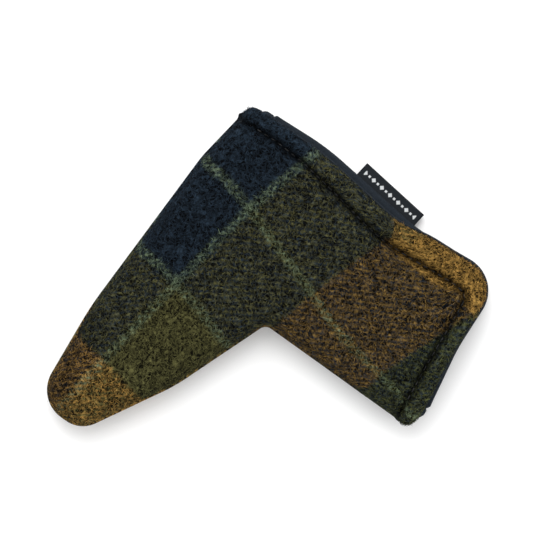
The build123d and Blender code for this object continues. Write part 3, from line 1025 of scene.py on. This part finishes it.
seam = closed_thread("outer_seam", 1.3, 0.35)
lining_seam = closed_thread("lining_seam", 7.2, 0.3)
stitching = {}
for side in ("front", "back"):
    row = np.array(GROOVE[side], float)[1:-1]
    stitching[side] = stitch_row(f"topstitching_{side}", side, row)
    print(side, "topstitching:", len(stitching[side].data.polygons), "quads")

# %% [markdown]
# ## Woven label
#
# The label is a damask ribbon folded end to end and sewn into the back hem. Black warp and off-white
# weft change places to draw its figures, which here are plain lozenges and dots.

# %% Label material
label_material, tree, shader = new_material("woven_damask_label")
place = add(tree, "ShaderNodeUVMap", uv_map="cloth")
mm = add(tree, "ShaderNodeVectorMath", {0: place, 1: (1000, 1000, 1000)}, operation="MULTIPLY")
parts = add(tree, "ShaderNodeSeparateXYZ", {0: mm})
FIGURE_PITCH = 2.55
FIGURE_HEIGHT = 3.0  # the figures' middle, up from the label's root
rise = add(tree, "ShaderNodeMath", {0: parts.outputs["Y"], 1: FIGURE_HEIGHT}, operation="SUBTRACT")
rise = add(tree, "ShaderNodeMath", {0: rise}, operation="ABSOLUTE")
aside = add(tree, "ShaderNodeMath", {0: parts.outputs["X"], 1: FIGURE_PITCH}, operation="PINGPONG")
lozenge = add(tree, "ShaderNodeMath", {0: aside, 1: rise}, operation="ADD")
lozenge = add(tree, "ShaderNodeMapRange", {"Value": lozenge, "From Min": 1.35, "From Max": 1.05})
from_dot = add(tree, "ShaderNodeMath", {0: FIGURE_PITCH, 1: aside}, operation="SUBTRACT")
dot = add(tree, "ShaderNodeMath", {0: from_dot, 1: rise}, operation="MAXIMUM")
dot = add(tree, "ShaderNodeMapRange", {"Value": dot, "From Min": 0.62, "From Max": 0.45})
figures = add(tree, "ShaderNodeMath", {0: lozenge, 1: dot}, operation="MAXIMUM")
LABEL_WIDTH = 35.7
from_middle = add(tree, "ShaderNodeMath", {0: parts.outputs["X"]}, operation="ABSOLUTE")
room = add(tree, "ShaderNodeMath", {0: from_middle, 1: LABEL_WIDTH / 2 - 2.2}, operation="LESS_THAN")
figures = add(tree, "ShaderNodeMath", {0: figures, 1: room}, operation="MULTIPLY")
ribbon = add(tree, "ShaderNodeTexWave", {"Vector": mm, "Scale": 1.0, "Distortion": 0.3},
             bands_direction="Y")
ground = add(tree, "ShaderNodeMix", {"Factor": ribbon.outputs["Fac"], "A": linear("#0b0f13"),
                                     "B": linear("#1a2026")}, data_type="RGBA")
colour = add(tree, "ShaderNodeMix", {"Factor": figures, "A": ground.outputs["Result"],
                                     "B": linear("#c9cccd")}, data_type="RGBA")
tree.links.new(colour.outputs["Result"], shader.inputs["Base Color"])
bump = add(tree, "ShaderNodeBump", {"Height": ribbon.outputs["Fac"], "Distance": 0.08 * MM})
tree.links.new(bump.outputs[0], shader.inputs["Normal"])
shader.inputs["Roughness"].default_value = 0.6
shader.inputs["Specular IOR Level"].default_value = 0.2

# %% [markdown]
# ## The folded label
#
# A ribbon doubled end to end, with its cut ends sewn in. It is built as one closed section, carried along
# the width with a slight wave, because a short folded ribbon never lies quite flat.

# %% Label shape
LABEL_JOINT = next(j for j in frame["joints"] if j["name"] == "label_bend")
LABEL_AT = np.array(LABEL_JOINT["pos_m"]) / MM
LABEL_ALONG = np.array([*LABEL_JOINT["axis"][:2], 0.0])
LABEL_ALONG /= np.linalg.norm(LABEL_ALONG)
LABEL_ALONG *= np.sign(LABEL_ALONG[0])
LABEL_OUT = np.array([-LABEL_ALONG[1], LABEL_ALONG[0], 0.0])
LABEL_REACH = 6.9
LABEL_STEPS = 40


def folded_ribbon():
    """The ribbon's section: out along the top, round the end and back, then its inner face.

    Each place is (outward, up, distance from the root along the cloth), outward and up in mm.
    """
    end = LABEL_REACH - 0.3
    outer = [(s, 0.30) for s in np.linspace(-4.4, end, 26)]
    outer += [(end + 0.30 * cos(t), 0.30 * sin(t)) for t in np.linspace(1.2, -1.2, 7)]
    outer += [(s, -0.30) for s in np.linspace(end, -4.4, 26)]
    inner = [(s, -0.04) for s in np.linspace(-4.4, end, 26)] + [(end + 0.05, 0.0)]
    inner += [(s, 0.04) for s in np.linspace(end, -4.4, 26)]
    section = np.array(outer + inner)
    steps = np.linalg.norm(np.diff(section, axis=0), axis=1)
    return section, np.concatenate([[0], np.cumsum(steps)]) - 4.4


section, cloth_reach = folded_ribbon()
tuck = 1.45 * smoothstep(-0.2, -1.9, section[:, 0])
widths = np.linspace(-0.5, 0.5, LABEL_STEPS + 1) * LABEL_WIDTH
wave = 0.12 * np.sin(widths / 5.0) + 0.08 * np.sin(widths / 2.1 + 1.0)
lift = wave[:, None] * smoothstep(0.5, LABEL_REACH, section[:, 0])[None]
label_points = (LABEL_AT - 0.5 * LABEL_ALONG + widths[:, None, None] * LABEL_ALONG
                + section[None, :, 0, None] * LABEL_OUT
                + (section[None, :, 1] + tuck[None] + lift)[..., None] * np.array([0, 0, 1]))
count = len(section)
here = np.arange(count)
there = (here + 1) % count
row = (np.arange(LABEL_STEPS) * count)[:, None]
sides = np.stack([row + here, row + count + here, row + count + there, row + there], axis=-1).reshape(-1, 4)
label_uv = np.stack(np.broadcast_arrays(widths[:, None], cloth_reach[None]), axis=-1).reshape(-1, 2)
half_count = count // 2
first_end = [[k, k + 1, count - 2 - k, count - 1 - k] for k in range(half_count - 1)]
last_end = [[v + LABEL_STEPS * count for v in face[::-1]] for face in first_end]
faces = np.concatenate([sides, first_end, last_end])
label = make_mesh("label", label_points.reshape(-1, 3), faces, label_material, label_uv)
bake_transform(label)
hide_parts("woven_label", "label_tail")
print("label", LABEL_WIDTH, "by", LABEL_REACH, "mm,", len(faces), "faces")

# %% [markdown]
# ## Nap
#
# Milling and brushing leave loose fibres standing on the cloth. They soften the outline and catch the
# light one by one. Each is a thin bent spike with three sides, rooted at a random place on the outer
# face, which leans along the cloth and lifts a little off it.


# %% Fibres
def nap(name, side, count, seed, lengths, lifts, radius, tones):
    """Loose fibres on one panel's outer face.

    From its root each fibre runs along a random heading in the cloth's plane. Its middle is lifted and
    its tip falls to one side, so that it curls.
    """
    rng = np.random.default_rng(seed)
    corners = wool_points[side][wool_quads[side]]
    facing = np.cross(corners[:, 2] - corners[:, 0], corners[:, 3] - corners[:, 1])
    sizes = np.linalg.norm(facing, axis=1)
    hidden = np.arange(len(corners)) < 9 * RING
    chance = np.where(hidden, 0.0, sizes)
    chosen = rng.choice(len(corners), count, p=chance / chance.sum())
    a, b = rng.random((2, count, 1))
    shares = np.stack([(1 - a) * (1 - b), a * (1 - b), a * b, (1 - a) * b], axis=1)
    root = (corners[chosen] * shares).sum(1)
    root_uv = (wool_uv[side][wool_quads[side][chosen]] * shares).sum(1)
    normal = facing[chosen] / sizes[chosen, None]
    heading = rng.normal(size=(count, 3))
    heading -= normal * (heading * normal).sum(1, keepdims=True)
    heading /= np.linalg.norm(heading, axis=1, keepdims=True)
    sideways = np.cross(normal, heading)
    length = rng.uniform(*lengths, (count, 1))
    lift = rng.uniform(*lifts, (count, 1))
    curl = rng.normal(0, 0.35, (count, 1)) * length
    middle = root + heading * length * 0.5 + normal * lift + sideways * curl * 0.5
    tip = (root + heading * length * 0.85 + normal * lift * rng.uniform(0.3, 1.4, (count, 1))
           + sideways * curl * 1.5)
    spokes = [normal, -0.5 * normal + 0.87 * sideways, -0.5 * normal - 0.87 * sideways]
    low = [root - 0.1 * normal + radius * spoke for spoke in spokes]
    mid = [middle + 0.8 * radius * spoke for spoke in spokes]
    points = np.stack(low + mid + [tip], axis=1).reshape(-1, 3)
    start = (np.arange(count) * 7)[:, None, None]
    quads = (start + np.array([[0, 1, 4, 3], [1, 2, 5, 4], [2, 0, 3, 5]])).reshape(-1, 4)
    ends = (start + np.array([[3, 4, 6], [4, 5, 6], [5, 3, 6]])).reshape(-1, 3)
    # Each fibre's random tone, lighter on the whole as a painted highlight, times the painted shade and
    # highlight of the cloth at its root.
    tone = rng.uniform(*tones, count) ** 2 * painted_shade_and_highlight(side, root)
    return make_mesh(name, points, quads.tolist() + ends.tolist(), nap_material,
                     np.repeat(root_uv, 7, axis=0), tone=np.repeat(tone, 7))


NAPS = {}
for side, seed in (("front", 11), ("back", 12)):
    NAPS[side] = [nap(f"nap_{side}", side, 20000, seed, (1.4, 3.2), (0.2, 0.7), 0.11, (0.4, 2.3))]
NAPS["front"].append(nap("nap_front_low", "front", 20000, 13, (1.0, 2.2), (0.05, 0.3), 0.12, (0.4, 1.9)))
print("fibres:", {side: sum(len(n.data.vertices) // 7 for n in made) for side, made in NAPS.items()})

# %% [markdown]
# ## Magnets and their sleeves
#
# Three nickel-plated bar magnets in each hem hold the mouth shut. Each sits in a soft vinyl sleeve, so
# that it can't rub through the foam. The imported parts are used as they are, with these finishes.

# %% Magnet and sleeve finishes
nickel, tree, shader = new_material("nickel_plated_magnet")
shader.inputs["Base Color"].default_value = linear("#b9b6ae")
shader.inputs["Metallic"].default_value = 1.0
shader.inputs["Roughness"].default_value = 0.3
vinyl, tree, shader = new_material("black_vinyl_sleeve")
shader.inputs["Base Color"].default_value = linear("#1b1c1e")
shader.inputs["Roughness"].default_value = 0.45
for side in ("front", "back"):
    for number in (1, 2, 3):
        for name, finish, slot in ((f"{side}_magnet_{number}", nickel, "magnet"),
                                   (f"{side}_magnet_sleeve_{number}", vinyl, "sleeve")):
            node = frame["nodes"][name]
            node.data.materials.clear()
            node.data.materials.append(finish)

# %% [markdown]
# ## Joining the pieces to the model
#
# Each cloth piece stands for the imported solids that it dresses, which are hidden, and its placement is
# baked into its mesh. The seam threads are hung on the pocket.


for side in ("front", "back"):
    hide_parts(f"{side}_wool_pocket", f"{side}_wool_flap")
    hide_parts(f"{side}_hem_stitching", f"{side}_hem_end_stitching")
    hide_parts(f"{side}_padding_pocket", f"{side}_padding_flap")
    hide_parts(f"{side}_lining_pocket", f"{side}_lining_flap")
    for piece in (wool[side], padding[side], lining[side], stitching[side], *NAPS[side]):
        bend_with_flap(piece)

for thread, node in ((seam, "outer_seam_thread"), (lining_seam, "lining_seam_thread")):
    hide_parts(node)
    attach(thread, "pocket")
